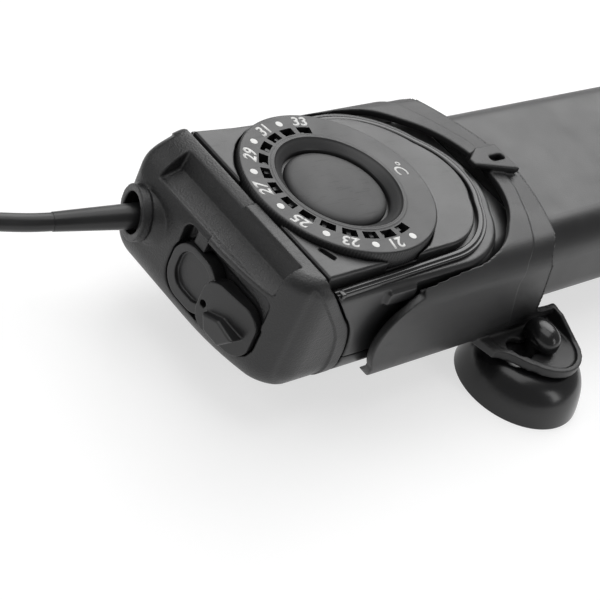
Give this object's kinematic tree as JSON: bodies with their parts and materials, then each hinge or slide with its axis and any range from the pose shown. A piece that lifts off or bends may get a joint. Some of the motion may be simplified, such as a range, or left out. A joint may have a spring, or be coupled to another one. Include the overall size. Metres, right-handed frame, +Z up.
{
  "type": "aquarium heater",
  "caption": "Submersible aquarium heater with a temperature dial, a lock key, a flat heating section and a slide-on holder with suction cups on side lugs.",
  "frame": {"origin": "bottom centre of the heater, on the plane the suction cup rims stand on, the lead and its plug left out", "axes": "+X along the heater from the cord end to the closed tail, +Z up out of the dial, +Y towards the side the cord leaves from"},
  "size_m": [0.3331, 0.1851, 0.0503],
  "materials": {
    "cap": "fine spark-eroded grain, black",
    "casing": "satin black",
    "plate": "smooth satin black",
    "trim": "semi-gloss black",
    "dial": "satin black with white printed figures",
    "dome": "matt black",
    "shaft": "natural acetal",
    "seal": "nitrile rubber",
    "pot": "moulded blue",
    "wiper": "natural acetal",
    "board": "solder mask green",
    "component": "moulded black",
    "capacitor": "moulded ochre",
    "fuse": "clear glass",
    "terminal": "moulded light grey",
    "potting": "cast resin",
    "spreader": "plain",
    "mica": "mica sheet",
    "element": "ceramic blocks in a steel mesh",
    "cutout": "tin plated",
    "sensor": "epoxy bead",
    "carrier": "heat-proof moulding",
    "tube": "satin black",
    "key": "satin black",
    "relief": "soft black",
    "wire": "insulated",
    "lead": "bare",
    "screw": "zinc plated",
    "holder": "fine grain, black",
    "cup": "glossy black",
    "cord": "semi-gloss black sheath",
    "plug": "moulded black",
    "pin": "nickel plated"
  },
  "bodies": {
    "heater": {"end_cap": "cap", "upper_housing": "casing", "lower_housing": "casing", "face_plate": "plate", "rail_trim": "trim", "shaft_seal": "seal", "potentiometer": "pot", "circuit_board": "board", "triac": "component", "suppression_capacitor": "capacitor", "control_relay": "component", "fuse": "fuse", "terminal_block": "terminal", "potting_bulkhead": "potting", "heat_spreaders": "spreader", "mica_sheets": "mica", "heating_element": "element", "thermal_cutout": "cutout", "temperature_sensor": "sensor", "element_carriers": "carrier", "heating_tube": "tube", "tube_seal": "seal", "tail_plug": "tube", "strain_relief": "relief", "cord_grommet": "seal", "cord_clamp": "carrier", "supply_wires": "wire", "element_leads": "lead", "board_screws": "screw", "cord_lead": "cord", "cord_coil": "cord", "plug_body": "plug", "plug_relief": "plug", "plug_pins": "pin"},
    "dial": {"dial_ring": "dial", "dial_dome": "dome", "dial_shaft": "shaft", "potentiometer_wiper": "wiper"},
    "lock_key": {"lock_key": "key"},
    "holder": {"holder_sleeve": "holder"},
    "cup_near": {"suction_cup_near": "cup"},
    "cup_far": {"suction_cup_far": "cup"}
  },
  "joints": [
    {"name": "dial_turn", "type": "hinge", "parent": "heater", "child": "dial", "pos_m": [-0.063, 0, 0.045], "axis": [0, 0, 1], "range_deg": [-64, 143]},
    {"name": "key_pull", "type": "slide", "parent": "heater", "child": "lock_key", "axis": [-1, 0, 0], "range_m": [0, 0.03]},
    {"name": "holder_slide", "type": "slide", "parent": "heater", "child": "holder", "axis": [1, 0, 0], "range_m": [0, 0.17]},
    {"name": "cup_near_spin", "type": "hinge", "parent": "holder", "child": "cup_near", "pos_m": [-0.0038, -0.041, 0.01], "axis": [0, 0, 1], "continuous": true},
    {"name": "cup_far_spin", "type": "hinge", "parent": "holder", "child": "cup_far", "pos_m": [-0.0038, 0.041, 0.01], "axis": [0, 0, 1], "continuous": true}
  ]
}
